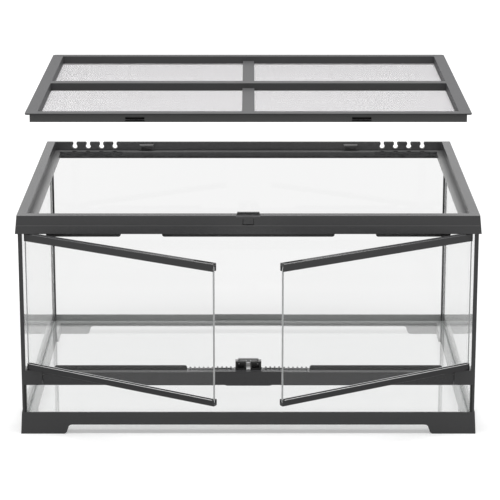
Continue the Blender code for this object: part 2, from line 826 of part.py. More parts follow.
def skirt_slots(top):
    """Slots through the front and the rear skirt, where the tabs hold the lid."""
    reach = LID_WALL + BITE
    slots = []
    for wall in lid_outline(LID_SKIRT_INSET)[1:]:
        for center in (-LID_SLOT_CENTRE, LID_SLOT_CENTRE):
            across = (center - LID_SLOT_WIDTH / 2, center + LID_SLOT_WIDTH / 2)
            slots.append(box(across, (wall - reach, wall + reach), (top - LID_SLOT_HEIGHT, top)))
    return slots


def long_bar(middle, window_x, top, under, low):
    """The bar along the lid: a channel, open below, that ends in the lid's inner walls."""
    half = LONG_BAR / 2
    wall = half - LID_WALL
    outline = [
        (middle - half, top),
        (middle - half, low),
        (middle - wall, low),
        (middle - wall, under),
        (middle + wall, under),
        (middle + wall, low),
        (middle + half, low),
        (middle + half, top),
    ]
    return prism(outline, "X", -window_x - BITE, window_x + BITE)


def lid_screen(parent, top):
    """The screen as a net of strips, with wide meshes that line up with the lid's four windows."""
    edge_x, edge_front, edge_rear = lid_outline(LID_SKIRT_INSET + LID_WALL + GAP)
    window_x, window_front, window_rear = lid_outline(LID_RAIL)
    middle = (window_front + window_rear) / 2
    left = mesh_lines(-window_x, 0, SCREEN_COLUMNS)
    right = mesh_lines(0, window_x, SCREEN_COLUMNS)
    near = mesh_lines(window_front, middle, SCREEN_ROWS)
    far = mesh_lines(middle, window_rear, SCREEN_ROWS)
    x_edges = [-edge_x, *left, *right, edge_x]
    y_edges = [edge_front, *near, *far, edge_rear]
    across = range(1, len(x_edges) - 1, 2)
    along = range(1, len(y_edges) - 1, 2)
    openings = {(i, j) for i in across for j in along}
    shape = net(x_edges, y_edges, (top - SCREEN_THICKNESS, top), openings)
    solid("lid_screen", [shape], parent, "screen_wire")


def mesh_lines(low, high, count):
    """Pairs of edges of the meshes between two lines, with a strip between each two meshes."""
    pitch = (high - low) / count
    lines = []
    for i in range(count):
        lines.append(low + pitch * i + SCREEN_STRIP / 2)
        lines.append(low + pitch * (i + 1) - SCREEN_STRIP / 2)
    return lines


# Sill


def sill(parent):
    end = HALF_WIDTH - SILL_END_LENGTH - GAP
    glass_front = LOWER_GLASS_FRONT - GAP
    glass_back = LOWER_GLASS_FRONT + GLASS + GAP
    slot_top = LOWER_GLASS_TOP + GAP
    inner_low = SILL_BOTTOM + SILL_INNER_RISE
    plate_low = SILL_TOP - SILL_PLATE
    outline = [
        (FRONT_FACE, SILL_TOP),
        (FRONT_FACE, SILL_BOTTOM),
        (glass_front, SILL_BOTTOM),
        (glass_front, slot_top),
        (glass_back, slot_top),
        (glass_back, inner_low),
        (glass_back + SILL_LIP, inner_low),
        (glass_back + SILL_LIP, plate_low),
        (SILL_BACK, plate_low),
        (SILL_BACK, SILL_TOP),
    ]
    bar = solid("front_sill", [prism(outline, "X", -end, end)], parent, "frame_plastic")
    half = BADGE_WIDTH / 2
    badge = [
        (-half, SILL_BOTTOM),
        (-half + BADGE_SLOPE, SILL_BOTTOM - BADGE_DROP),
        (half - BADGE_SLOPE, SILL_BOTTOM - BADGE_DROP),
        (half, SILL_BOTTOM),
        (half, SILL_BOTTOM + BITE),
        (-half, SILL_BOTTOM + BITE),
    ]
    join(bar, [prism(badge, "Y", FRONT_FACE, glass_front)], "badge_drop")
    join(bar, sill_stops(), "stops")
    join(bar, [lock_ramp()], "lock_ramp")
    join(bar, [ramp_wall()], "ramp_wall")
    seams = [
        box(
            span(side, end - SILL_SEAM, end + BITE),
            (FRONT_FACE - PAST, FRONT_FACE + SILL_SEAM_DEPTH),
            (SILL_TOP - SILL_SEAM_HEIGHT, SILL_TOP + PAST),
        )
        for side in (-1, 1)
    ]
    cut(bar, seams, "end_seams")
    near = GRILLE_START - GAP
    far = GRILLE_START + grille_length() + GAP
    depth = (SILL_BACK - GRILLE_DEPTH - GAP, SILL_BACK + PAST)
    height = (plate_low - PAST, SILL_TOP + BITE)
    cut(bar, [box(span(side, near, far), depth, height) for side in (-1, 1)], "grille_seats")


def sill_stops():
    """Lips on the sill that stop the doors, one on each side of the lock."""
    high = SILL_TOP + SILL_STOP_HEIGHT
    ranges = ((-SILL_STOP_END, -SILL_STOP_START), (SILL_STOP_START, SILL_STOP_END))
    return [stop_lip(start, end, SILL_TOP - BITE, high) for start, end in ranges]


def lock_ramp():
    """A wedge between the lock blocks that rises to the back."""
    half = LOCK_CHANNEL / 2 - GAP
    front = STOP_FACE + GAP
    back = STOP_FACE + LOCK_DEPTH
    outline = [
        (front, SILL_TOP - BITE),
        (front, SILL_TOP + BITE),
        (back - RAMP_TOP, SILL_TOP + RAMP_HEIGHT),
        (back, SILL_TOP + RAMP_HEIGHT),
        (back, SILL_TOP - BITE),
    ]
    return prism(outline, "X", -half, half)


def ramp_wall():
    """A low wall behind the lock blocks that closes the back of their channel up to the ramp."""
    half = LOCK_CHANNEL / 2 + RAMP_WALL_MARGIN
    back = STOP_FACE + LOCK_DEPTH
    gap_end = lock_front() + LOCK_DEPTH + GAP
    outline = [
        (-half, gap_end),
        (-half, gap_end + RAMP_WALL),
        (half, gap_end + RAMP_WALL),
        (half, gap_end),
        (LOCK_CHANNEL / 2 - GAP, gap_end),
        (LOCK_CHANNEL / 2 - GAP, back - BITE),
        (GAP - LOCK_CHANNEL / 2, back - BITE),
        (GAP - LOCK_CHANNEL / 2, gap_end),
    ]
    return prism(outline, "Z", SILL_TOP - BITE, SILL_TOP + RAMP_HEIGHT)


def sill_ends(parent):
    """The blocks at the sill's ends. Each grips the lower glass and holds the lower hinge pin."""
    inner = HALF_WIDTH - SILL_END_LENGTH
    outer = HALF_WIDTH + GAP + POST_LEG
    glass_side = HALF_WIDTH - GLASS - GAP
    back = -HALF_DEPTH - GAP
    outline = [
        (inner, FRONT_FACE),
        (outer, FRONT_FACE),
        (outer, FRONT_FACE + POST_WRAP),
        (outer - POST_LEG, FRONT_FACE + POST_WRAP),
        (outer - POST_LEG, back),
        (glass_side, back),
        (glass_side, SILL_BACK),
        (inner, SILL_BACK),
    ]
    for side, word in ((-1, "left"), (1, "right")):
        shape = prism(mirrored(side, outline), "Z", SILL_BOTTOM, SILL_END_TOP)
        block = solid(f"{word}_sill_end", [shape], parent, "frame_plastic")
        slot = box(
            span(side, inner - PAST, glass_side + BITE),
            (LOWER_GLASS_FRONT - GAP, LOWER_GLASS_FRONT + GLASS + GAP),
            (SILL_BOTTOM - PAST, LOWER_GLASS_TOP + GAP),
        )
        cut(block, [slot], "glass_slot")
        bore = cylinder(
            (side * HINGE_X, HINGE_Y),
            PIN_RADIUS + GAP,
            (SILL_END_TOP - PIN_REACH - GAP, SILL_END_TOP + PAST),
        )
        cut(block, [bore], "hinge_bore")


def grille_length():
    return GRILLE_PITCH * GRILLE_COUNT + GRILLE_PITCH - RIB_WIDTH


def vent_grilles(parent):
    """A row of ribs on a slotted plate, either side of the lock."""
    low = SILL_TOP - SILL_PLATE
    plate_top = low + GRILLE_THICKNESS
    rib_top = plate_top + RIB_HEIGHT
    valley = GRILLE_PITCH - RIB_WIDTH
    front = SILL_BACK - GRILLE_DEPTH
    slot_depth = (front + GRILLE_BORDER, SILL_BACK - GRILLE_BORDER)
    for side, word in ((-1, "left"), (1, "right")):
        outline = [(GRILLE_START, low), (GRILLE_START, plate_top)]
        slots = []
        for i in range(GRILLE_COUNT):
            start = GRILLE_START + valley + GRILLE_PITCH * i
            end = start + RIB_WIDTH
            outline += [
                (start, plate_top),
                (start + RIB_SLOPE, rib_top),
                (end - RIB_SLOPE, rib_top),
                (end, plate_top),
            ]
            if i:
                across = span(side, start - valley + GAP, start - GAP)
                slots.append(box(across, slot_depth, (low - PAST, rib_top + PAST)))
        end = GRILLE_START + grille_length()
        outline += [(end, plate_top), (end, low)]
        shape = prism(mirrored(side, outline), "Y", front, SILL_BACK)
        grille = solid(f"{word}_vent_grille", [shape], parent, "frame_plastic")
        cut(grille, slots, "slots")


# Lock


def lock_front():
    return STOP_FACE + GAP


def lock_blocks(parent):
    low = SILL_TOP + GAP
    high = low + LOCK_HEIGHT
    front = lock_front()
    inner = LOCK_CHANNEL / 2
    for side, word in ((-1, "left"), (1, "right")):
        shape = box(span(side, inner, LOCK_HALF_WIDTH), (front, front + LOCK_DEPTH), (low, high))
        block = solid(f"{word}_lock_block", [shape], parent, "lock_plastic")
        window = box(
            span(side, WINDOW_INNER, WINDOW_OUTER),
            (front - PAST, front + WINDOW_DEPTH),
            (low + WINDOW_RISE, low + WINDOW_RISE + WINDOW_HEIGHT),
        )
        cut(block, [window], "window")
        tongue_out = CAP_WIDTH / 2 + GAP
        tongue_in = CAP_WIDTH / 2 - TONGUE_WIDTH - GAP
        tongue_front = front + TONGUE_BACK - GAP
        slot = box(
            span(side, tongue_in, tongue_out),
            (tongue_front, tongue_front + TONGUE_THICKNESS + 2 * GAP),
            (low + WINDOW_RISE + WINDOW_HEIGHT - BITE, high + PAST),
        )
        cut(block, [slot], "tongue_slot")


def lock_bar(parent):
    """The cap over the lock. Pressed down, its tongues drop in front of the door hooks."""
    block_top = SILL_TOP + GAP + LOCK_HEIGHT
    low = block_top + GAP + LOCK_TRAVEL
    high = low + CAP_THICKNESS
    front = lock_front()
    half = CAP_WIDTH / 2
    depth = (front + CAP_SETBACK, front + CAP_SETBACK + CAP_DEPTH)
    anchor = empty("lock_bar_slide", (0, front, low), parent)
    cap = box((-half, half), depth, (low, high))
    bar = solid("lock_bar", [cap], parent, "cap_plastic")
    tongue_low = hook_top() + HOOK_HEAD + TONGUE_REST_GAP
    tongue_front = front + TONGUE_BACK
    tongues = [
        box(
            span(side, half - TONGUE_WIDTH, half),
            (tongue_front, tongue_front + TONGUE_THICKNESS),
            (tongue_low, low + BITE),
        )
        for side in (-1, 1)
    ]
    join(bar, tongues, "tongues")
    boss = box((-CAP_BOSS_WIDTH / 2, CAP_BOSS_WIDTH / 2), depth, (low - CAP_BOSS_DROP, low + BITE))
    join(bar, [boss], "boss")
    hang_on(anchor, bar)


# Doors


def hook_low():
    return SILL_TOP + GAP + WINDOW_RISE + HOOK_RISE


def hook_top():
    return hook_low() + HOOK_THICKNESS


def rail_outline(low, high, opens_down):
    """A channel for the door glass in (y, z), with its closed side at the top or the bottom."""
    half = DOOR_THICKNESS / 2
    slot = GLASS / 2 + GAP
    closed, open_edge = (high, low) if opens_down else (low, high)
    inward = -1 if opens_down else 1
    chamfer = closed + inward * RAIL_CHAMFER
    lip = open_edge - inward * RAIL_CHAMFER
    web = closed + inward * RAIL_WEB
    return [
        (-half + RAIL_CHAMFER, open_edge),
        (-half, lip),
        (-half, chamfer),
        (-half + RAIL_CHAMFER, closed),
        (half - RAIL_CHAMFER, closed),
        (half, chamfer),
        (half, lip),
        (half - RAIL_CHAMFER, open_edge),
        (slot, open_edge),
        (slot, web),
        (-slot, web),
        (-slot, open_edge),
    ]


def door(side, word, root):
    """One door in the frame of its hinge, closed, with the hinge turned to stand it ajar."""
    hinge = empty(
        f"{word}_door_hinge",
        (side * HINGE_X, HINGE_Y, 0),
        root,
        side * math.radians(DOOR_OPEN_DEGREES),
    )
    inward = -side
    length = HINGE_X - DOOR_MIDDLE_GAP / 2
    reach = span(inward, -HINGE_END, length)
    top_low = DOOR_TOP - TOP_RAIL_HEIGHT
    bottom_high = DOOR_BOTTOM + BOTTOM_RAIL_HEIGHT
    glass_low = DOOR_BOTTOM + RAIL_WEB + GAP
    glass_high = DOOR_TOP - RAIL_WEB - GAP

    glass_x = span(inward, -HINGE_END + DOOR_GLASS_INSET, length - DOOR_GLASS_INSET)
    pane = box(glass_x, (-GLASS / 2, GLASS / 2), (glass_low, glass_high))
    solid(f"{word}_door_glass", [pane], hinge, "tank_glass")

    top_channel = prism(rail_outline(top_low, DOOR_TOP, True), "X", *reach)
    top = solid(f"{word}_top_rail", [top_channel], hinge, "rail_plastic")
    bore = cylinder((0, 0), PIN_RADIUS + GAP, (DOOR_TOP - RAIL_WEB - BITE, DOOR_TOP + BITE))
    cut(top, [bore], "pin_bore")
    strike_x = span(inward, length - STRIKE_END - STRIKE_LENGTH, length - STRIKE_END)
    pocket = box(
        (strike_x[0] - GAP, strike_x[1] + GAP),
        (-STRIKE_WIDTH / 2 - GAP, STRIKE_WIDTH / 2 + GAP),
        (DOOR_TOP - STRIKE_THICKNESS - 2 * GAP, DOOR_TOP + BITE),
    )
    cut(top, [pocket], "strike_pocket")
    cut(top, hinge_rounds(-inward, top_low, DOOR_TOP), "hinge_rounds")
    plate = box(
        strike_x,
        (-STRIKE_WIDTH / 2, STRIKE_WIDTH / 2),
        (DOOR_TOP - STRIKE_THICKNESS - GAP, DOOR_TOP - GAP),
    )
    solid(f"{word}_strike_plate", [plate], hinge, "dark_steel")

    bottom_channel = prism(rail_outline(DOOR_BOTTOM, bottom_high, False), "X", *reach)
    bottom = solid(f"{word}_bottom_rail", [bottom_channel], hinge, "rail_plastic")
    bore = cylinder((0, 0), PIN_RADIUS + GAP, (DOOR_BOTTOM - BITE, DOOR_BOTTOM + RAIL_WEB + BITE))
    cut(bottom, [bore], "pin_bore")
    cut(bottom, hinge_rounds(-inward, DOOR_BOTTOM, bottom_high), "hinge_rounds")
    join(bottom, [door_hook(inward)], "hook")

    top_pin = cylinder((0, 0), PIN_RADIUS, (glass_high + GAP, RAIL_UNDERSIDE + PIN_REACH))
    solid(f"{word}_top_pin", [top_pin], hinge, "steel", smooth=True)
    bottom_pin = cylinder((0, 0), PIN_RADIUS, (SILL_END_TOP - PIN_REACH, glass_low - GAP))
    solid(f"{word}_bottom_pin", [bottom_pin], hinge, "steel", smooth=True)


def hinge_rounds(outward, low, high):
    """What is cut off a rail's two upright corners at its hinge end, to round them."""
    half = DOOR_THICKNESS / 2
    corners = []
    for face in (-1, 1):
        outline = [(HINGE_END + PAST, half - HINGE_ROUND), (HINGE_END + PAST, half + PAST)]
        outline.append((HINGE_END - HINGE_ROUND, half + PAST))
        outline += arc((HINGE_END - HINGE_ROUND, half - HINGE_ROUND), HINGE_ROUND, 90, 0, 5)
        placed = [(outward * u, face * v) for u, v in outline]
        corners.append(prism(placed, "Z", low - PAST, high + PAST))
    return corners


def door_hook(inward):
    """The catch behind the bottom rail. Its head stands up behind the lock's tongue."""
    near = HINGE_X - HOOK_INNER - HOOK_WIDTH
    back = DOOR_THICKNESS / 2
    tongue_back = lock_front() + TONGUE_BACK + TONGUE_THICKNESS - HINGE_Y
    head_front = tongue_back + GAP
    head_back = head_front + HOOK_HEAD_LENGTH
    outline = [
        (back - BITE, hook_low()),
        (head_back, hook_low()),
        (head_back, hook_top() + HOOK_HEAD),
        (head_front, hook_top() + HOOK_HEAD),
        (head_front, hook_top()),
        (back - BITE, hook_top()),
    ]
    return prism(outline, "X", *span(inward, near, near + HOOK_WIDTH))


def hang_on(anchor, piece):
    """Parents a piece and its cutters to an anchor and leaves them where they are."""
    members = [piece] + [modifier.object for modifier in piece.modifiers]
    for member in members:
        member.parent = anchor
        member.location = [-value for value in anchor.location]


def centre_on_origin(root):
    """Moves the root so that the whole object stands centred over the origin."""
    bpy.context.view_layer.update()
    graph = bpy.context.evaluated_depsgraph_get()
    depths = []
    for obj in bpy.context.scene.objects:
        if obj.type == "MESH" and not obj.hide_render:
            shown = obj.evaluated_get(graph)
            depths += [(shown.matrix_world @ vertex.co).y for vertex in shown.data.vertices]
    root.location.y = -(min(depths) + max(depths)) / 2


def main():
    clear_scene()
    root = empty("cabinet_origin", (0, 0, 0))
    base_frame(root)
    glass_panels(root)
    rear_seals(root)
    corner_posts(root)
    top_frame(root)
    sill(root)
    sill_ends(root)
    vent_grilles(root)
    lock_blocks(root)
    lock_bar(root)
    lid_latch(root)
    inlet_sliders(root)
    door(-1, "left", root)
    door(1, "right", root)
    lid(empty("lid_lift", (0, 0, LID_LIFT), root))
    centre_on_origin(root)


main()
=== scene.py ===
"""Looks of the glass terrarium: materials, fine pieces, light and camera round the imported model."""

import json
import math

import bmesh
import bpy
from mathutils import Matrix, Vector


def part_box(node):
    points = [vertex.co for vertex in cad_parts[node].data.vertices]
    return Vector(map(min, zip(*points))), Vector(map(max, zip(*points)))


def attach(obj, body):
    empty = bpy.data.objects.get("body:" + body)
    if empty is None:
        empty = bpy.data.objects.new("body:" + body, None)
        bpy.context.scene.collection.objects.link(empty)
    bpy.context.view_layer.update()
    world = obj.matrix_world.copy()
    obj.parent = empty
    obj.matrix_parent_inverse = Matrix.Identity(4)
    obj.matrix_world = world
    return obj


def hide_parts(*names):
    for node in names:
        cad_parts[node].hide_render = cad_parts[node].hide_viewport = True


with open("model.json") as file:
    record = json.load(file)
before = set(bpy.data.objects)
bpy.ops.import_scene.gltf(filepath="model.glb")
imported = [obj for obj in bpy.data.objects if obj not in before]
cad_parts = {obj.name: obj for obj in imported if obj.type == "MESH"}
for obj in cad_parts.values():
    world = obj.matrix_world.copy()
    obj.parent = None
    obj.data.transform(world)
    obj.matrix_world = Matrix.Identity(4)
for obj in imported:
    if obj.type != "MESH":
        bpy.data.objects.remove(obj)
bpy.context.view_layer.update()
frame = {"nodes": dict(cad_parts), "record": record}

MM = 0.001
SIDES = ((-1, "left"), (1, "right"))

# The doors at rest, as in the CAD
DOOR_OPEN = math.radians(31)
HINGE_X = 289 * MM
HINGE_Y = -150.093 * MM

# Door glass in the frame of its hinge: from the hinge towards the middle, and half its thickness
DOOR_GLASS_NEAR = -3.4 * MM
DOOR_GLASS_FAR = 287.3 * MM
DOOR_GLASS_HALF = 2 * MM

# Panes: the width of their ground arrises, and the least that a wide face looks along the thin axis
ARRIS = 0.45 * MM
WIDE_FACE = 0.9

# Beads on the lips of the bottom rails, in the frame of the hinge. Their ends are pairs of a distance
# from the end and a share of the radius, and their stations are shares of the length.
BEAD_NEAR = -2 * MM
BEAD_FAR = 286 * MM
BEAD_SET_OUT = 3.6 * MM
BEAD_DROP = 0.1 * MM
BEAD_RADIUS = 0.5 * MM
BEAD_SIDES = 8
BEAD_SHARP_DEGREES = 60
BEAD_ENDS = ((0.0, 0.35), (0.6 * MM, 0.85), (1.6 * MM, 1.0))
BEAD_STATIONS = (0.25, 0.5, 0.75)

# Wire screen
SCREEN_MARGIN = 5.5 * MM
WIRE_PITCH = 1.6 * MM
WIRE_RADIUS = 0.11 * MM
WIRE_SIDES = 6
WIRE_SHARP_DEGREES = 70
HEM_GAP = 0.3 * MM
HEM_OVERLAP = 1.6 * MM

# Light: the world's on the object, the lamp, and the lamp's on the floor, which fades over its reach
WORLD_LIGHT = 0.25
LAMP_PLACE = (0.0, -0.28, 2.3)
LAMP_SIZE = (3.4, 1.0)
LAMP_WATTS = 69
FLOOR_LIGHT = 1.15
FLOOR_LIGHT_REACH = 3.0

# Floor: how bright it shows to the camera and behind glass, and what share of the light it reflects
# to the camera and to the object
FLOOR_WHITE = 1.42
FLOOR_WHITE_BEHIND = 1.03
FLOOR_PALE_SEEN = 0.75
FLOOR_PALE = 0.30
FLOOR_HALF = 12.0
FLOOR_Z = -0.2 * MM

# Camera
FOCAL_MM = 158.2
SENSOR_MM = 36
CAMERA_PLACE = (2.2 * MM, -2927.7 * MM, 1003.6 * MM)
PITCH_DEGREES = 15.13
CLIP_NEAR = 0.05
CLIP_FAR = 60


def new_object(name, mesh, material=None):
    obj = bpy.data.objects.new(name, mesh)
    bpy.context.scene.collection.objects.link(obj)
    if material is not None:
        mesh.materials.append(material)
    return obj


# Materials

# The values that most of a noise texture lies between, and the index of glass and plastics
NOISE_LOW = 0.3
NOISE_HIGH = 0.7
REFRACTION = 1.5


class Nodes:
    """Short calls to build a material's nodes."""

    def __init__(self, name):
        self.material = bpy.data.materials.new(name)
        self.material.use_nodes = True
        self.tree = self.material.node_tree
        self.shader = self.tree.nodes["Principled BSDF"]
        self.output = self.tree.nodes["Material Output"]

    def add(self, kind, **values):
        node = self.tree.nodes.new(kind)
        for key, value in values.items():
            setattr(node, key, value)
        return node

    def link(self, source, target):
        self.tree.links.new(source, target)

    def position(self):
        return self.add("ShaderNodeTexCoord").outputs["Object"]

    def noise(self, scale, detail=3.0, stretch=None, roughness=0.5):
        node = self.add("ShaderNodeTexNoise")
        node.inputs["Scale"].default_value = scale
        node.inputs["Detail"].default_value = detail
        node.inputs["Roughness"].default_value = roughness
        place = self.position()
        if stretch is not None:
            mapping = self.add("ShaderNodeMapping")
            mapping.inputs["Scale"].default_value = stretch
            self.link(place, mapping.inputs["Vector"])
            place = mapping.outputs["Vector"]
        self.link(place, node.inputs["Vector"])
        return node.outputs["Fac"]

    def ramp(self, source, low, high):
        """A colour that runs between two colours or tones with the source."""
        node = self.add("ShaderNodeValToRGB")
        places = (NOISE_LOW, NOISE_HIGH)
        for element, place, value in zip(node.color_ramp.elements, places, (low, high)):
            element.position = place
            element.color = (*value, 1.0) if isinstance(value, tuple) else (value, value, value, 1.0)
        self.link(source, node.inputs["Fac"])
        return node.outputs["Color"]

    def number(self, operation, *values):
        node = self.add("ShaderNodeMath", operation=operation)
        for socket, value in zip(node.inputs, values):
            if isinstance(value, float):
                socket.default_value = value
            else:
                self.link(value, socket)
        return node.outputs["Value"]

    def inside(self, limits):
        """1 within the limits of a region and 0 outside it."""
        split = self.add("ShaderNodeSeparateXYZ")
        self.link(self.position(), split.inputs["Vector"])
        places = {
            "x": self.number("ABSOLUTE", split.outputs["X"]),
            "y": split.outputs["Y"],
            "z": split.outputs["Z"],
        }
        share = 1.0
        for axis, (low, high) in limits.items():
            above = self.number("GREATER_THAN", places[axis], low)
            below = self.number("LESS_THAN", places[axis], high)
            share = self.number("MULTIPLY", self.number("MULTIPLY", above, below), share)
        return share

    def blend(self, share, outside, inside):
        mix = self.add("ShaderNodeMix", data_type="RGBA")
        self.link(share, mix.inputs["Factor"])
        self.link(outside, mix.inputs["A"])
        self.link(inside, mix.inputs["B"])
        return mix.outputs["Result"]

    def spread(self, source, low, high):
        """A number that runs between two values with the source."""
        node = self.add("ShaderNodeMapRange")
        node.inputs["From Min"].default_value = NOISE_LOW
        node.inputs["From Max"].default_value = NOISE_HIGH
        node.inputs["To Min"].default_value = low
        node.inputs["To Max"].default_value = high
        self.link(source, node.inputs["Value"])
        return node.outputs["Result"]

    def bump(self, source, strength, distance):
        node = self.add("ShaderNodeBump")
        node.inputs["Strength"].default_value = strength
        node.inputs["Distance"].default_value = distance
        self.link(source, node.inputs["Height"])
        return node.outputs["Normal"]


def scaled(color, factor):
    return tuple(value * factor for value in color)


def region(**limits):
    """A region of the model by its limits in millimetres. x is the distance from the middle plane."""
    return {axis: (low * MM, high * MM) for axis, (low, high) in limits.items()}


def plastic(name, color, roughness, grain=0.15, gleam=0.4, painted_shade_and_light=()):
    """Moulded plastic: a fine spark-eroded grain and faint flow clouds.

    The patches are pairs of a tone and the region that has it: painted shade, painted highlights and a
    painted reflection. A later one lies over the ones before it.
    """
    nodes = Nodes(name)
    cloud = nodes.noise(9.0, detail=4.0)
    dark, light = 0.97, 1.03
    tone = nodes.ramp(cloud, scaled(color, dark), scaled(color, light))
    for painted_tone, limits in painted_shade_and_light:
        other = nodes.ramp(cloud, painted_tone * dark, painted_tone * light)
        tone = nodes.blend(nodes.inside(limits), tone, other)
    nodes.link(tone, nodes.shader.inputs["Base Color"])
    fine = nodes.noise(2600.0, detail=2.0)
    rough = nodes.spread(fine, roughness - 0.03, roughness + 0.03)
    nodes.link(rough, nodes.shader.inputs["Roughness"])
    nodes.link(nodes.bump(fine, grain, 0.05 * MM), nodes.shader.inputs["Normal"])
    nodes.shader.inputs["IOR"].default_value = REFRACTION
    nodes.shader.inputs["Specular IOR Level"].default_value = gleam
    return nodes.material


def lamp_passes(nodes, tint):
    """Lamps and bounced light go straight through, so that the inside is lit as behind real glass."""
    path = nodes.add("ShaderNodeLightPath")
    clear = nodes.add("ShaderNodeBsdfTransparent")
    clear.inputs["Color"].default_value = (*tint, 1.0)
    mix = nodes.add("ShaderNodeMixShader")
    either = nodes.number("MAXIMUM", path.outputs["Is Shadow Ray"], path.outputs["Is Diffuse Ray"])
    nodes.link(either, mix.inputs["Fac"])
    nodes.link(nodes.shader.outputs["BSDF"], mix.inputs[1])
    nodes.link(clear.outputs["BSDF"], mix.inputs[2])
    nodes.link(mix.outputs["Shader"], nodes.output.inputs["Surface"])


def green_inside(nodes):
    """The faint green that thick glass takes from light."""
    volume = nodes.add("ShaderNodeVolumeAbsorption")
    volume.inputs["Color"].default_value = (0.78, 0.84, 0.82, 1.0)
    volume.inputs["Density"].default_value = 6.0
    nodes.link(volume.outputs["Volume"], nodes.output.inputs["Volume"])


def glass(name, gleam):
    """Clear float glass, hardly smeared. gleam is the share of its mirror image that it shows."""
    nodes = Nodes(name)
    shader = nodes.shader
    shader.inputs["Base Color"].default_value = (0.98, 0.98, 0.98, 1.0)
    shader.inputs["Transmission Weight"].default_value = 1.0
    shader.inputs["IOR"].default_value = REFRACTION
    shader.inputs["Specular Tint"].default_value = (gleam, gleam, gleam, 1.0)
    smears = nodes.noise(7.0, detail=4.0, roughness=0.6)
    nodes.link(nodes.spread(smears, 0.0, 0.015), shader.inputs["Roughness"])
    green_inside(nodes)
    lamp_passes(nodes, (0.96, 0.965, 0.963))
    return nodes.material


def ground_edge(name):
    """The panes' ground edges: frosted, with fine scratches along the grinding."""
    nodes = Nodes(name)
    shader = nodes.shader
    scratch = nodes.noise(900.0, stretch=(1.0, 1.0, 0.15))
    tone = nodes.ramp(scratch, (0.88, 0.895, 0.89), (0.96, 0.975, 0.97))
    nodes.link(tone, shader.inputs["Base Color"])
    shader.inputs["Transmission Weight"].default_value = 0.15
    shader.inputs["IOR"].default_value = REFRACTION
    nodes.link(nodes.spread(scratch, 0.25, 0.45), shader.inputs["Roughness"])
    nodes.link(nodes.bump(scratch, 0.3, 0.1 * MM), shader.inputs["Normal"])
    green_inside(nodes)
    lamp_passes(nodes, (0.88, 0.90, 0.89))
    return nodes.material


def rubber(name, color):
    nodes = Nodes(name)
    cloud = nodes.noise(40.0)
    tone = nodes.ramp(cloud, scaled(color, 0.8), scaled(color, 1.25))
    nodes.link(tone, nodes.shader.inputs["Base Color"])
    nodes.link(nodes.spread(cloud, 0.3, 0.5), nodes.shader.inputs["Roughness"])
    waves = nodes.noise(160.0, detail=2.0)
    nodes.link(nodes.bump(waves, 0.2, 0.3 * MM), nodes.shader.inputs["Normal"])
    return nodes.material


def metal(name, color, roughness, stretch):
    nodes = Nodes(name)
    brushed = nodes.noise(700.0, stretch=stretch)
    tone = nodes.ramp(brushed, scaled(color, 0.85), scaled(color, 1.08))
    nodes.link(tone, nodes.shader.inputs["Base Color"])
    nodes.shader.inputs["Metallic"].default_value = 1.0
    rough = nodes.spread(brushed, roughness * 0.8, roughness * 1.3)
    nodes.link(rough, nodes.shader.inputs["Roughness"])
    nodes.link(nodes.bump(brushed, 0.15, 0.05 * MM), nodes.shader.inputs["Normal"])
    return nodes.material


# Colours, roughness and regions of the mouldings. Each region is a patch of painted shade or painted
# light.
GREY = (0.070, 0.070, 0.072)
# The sill's grey is the frame grey darkened: painted shade
SILL_SHADED_GREY = (0.052, 0.052, 0.054)
# Near black tones for painted shade: on stops under rails, in grooves, gaps, windows and slots
SHADE_BLACK = 0.004
DEEP_SHADE_BLACK = 0.003
# A pale tone painted on the lid's inner skirt: painted light
SKIRT_PAINTED_LIGHT = 0.23
SATIN = 0.27

# Painted shade: the door stops under the top frame's front rail, near black
STOPS_ABOVE_SHADE = region(z=(260, 275.6))
# Painted highlight: the tops of the rear tabs, lighter as if lit from above
TAB_TOPS_HIGHLIGHT = region(x=(142.5, 163.5), y=(280, 310), z=(295.8, 296.6))
# Painted highlight: a light line along the ledge that the lid sits on
LID_SEAT_HIGHLIGHT = region(z=(286.6, 287.2))
# Painted shade: the groove round the pad on the front rail, near black
FRONT_PAD_SHADE = region(x=(-1, 7.7), y=(-154.6, -140), z=(287.4, 295.8))
# Painted shade: the door stops on the sill, near black
STOPS_BELOW_SHADE = region(x=(79, 260), z=(86.7, 94.5))
# Painted light: a lighter strip on the sill's top
SILL_SHELF_HIGHLIGHT = region(x=(79, 260), z=(85.8, 86.5))
# Painted shadow: a dark line in the gap between the sill and each end piece
SILL_JOINT_SHADE = region(x=(272.2, 273.9), y=(-160, -153), z=(73.5, 100))
# Painted highlight: the lock's middle ramp, near white
RAMP_HIGHLIGHT = region(x=(-1, 4.5), z=(86.3, 100))
# Painted shade: the windows in the lock's blocks, near black
LOCK_WINDOW_SHADE = region(x=(4.9, 15.3), y=(-144.8, -130), z=(88.2, 95.7))
# Painted highlight: a light line along the lock's top
LOCK_TOP_HIGHLIGHT = region(z=(97.7, 98.5))
# Painted light: the lid's inner skirt at the front, rear and sides
SKIRT_FRONT_LIGHT = region(y=(-136.2, -134), z=(419.5, 430.8))
SKIRT_REAR_LIGHT = region(y=(287.3, 289.5), z=(419.5, 430.8))
SKIRT_SIDE_LIGHT = region(x=(282.2, 284.4), z=(419.5, 430.8))
# Painted shade: inside the lid's slots, near black
SLOT_INSIDE_SHADE = region(x=(134.4, 159.6), y=(-135.1, -100), z=(419.5, 428.5))
# Painted reflection: the inside of the base lighter, as under the bottom glass's veil of reflected light
BASE_INSIDE_REFLECTION = region(x=(-1, 300.5), y=(-152.5, 299.5), z=(-1, 29.9))
# Painted shade: the top of the bottom rails round the glass, near black
RAIL_TOP_SHADE = region(z=(95.9, 100))
# Painted shade: the inner part of the lower posts, near black
POST_INNER_SHADE = region(x=(290, 298.2))

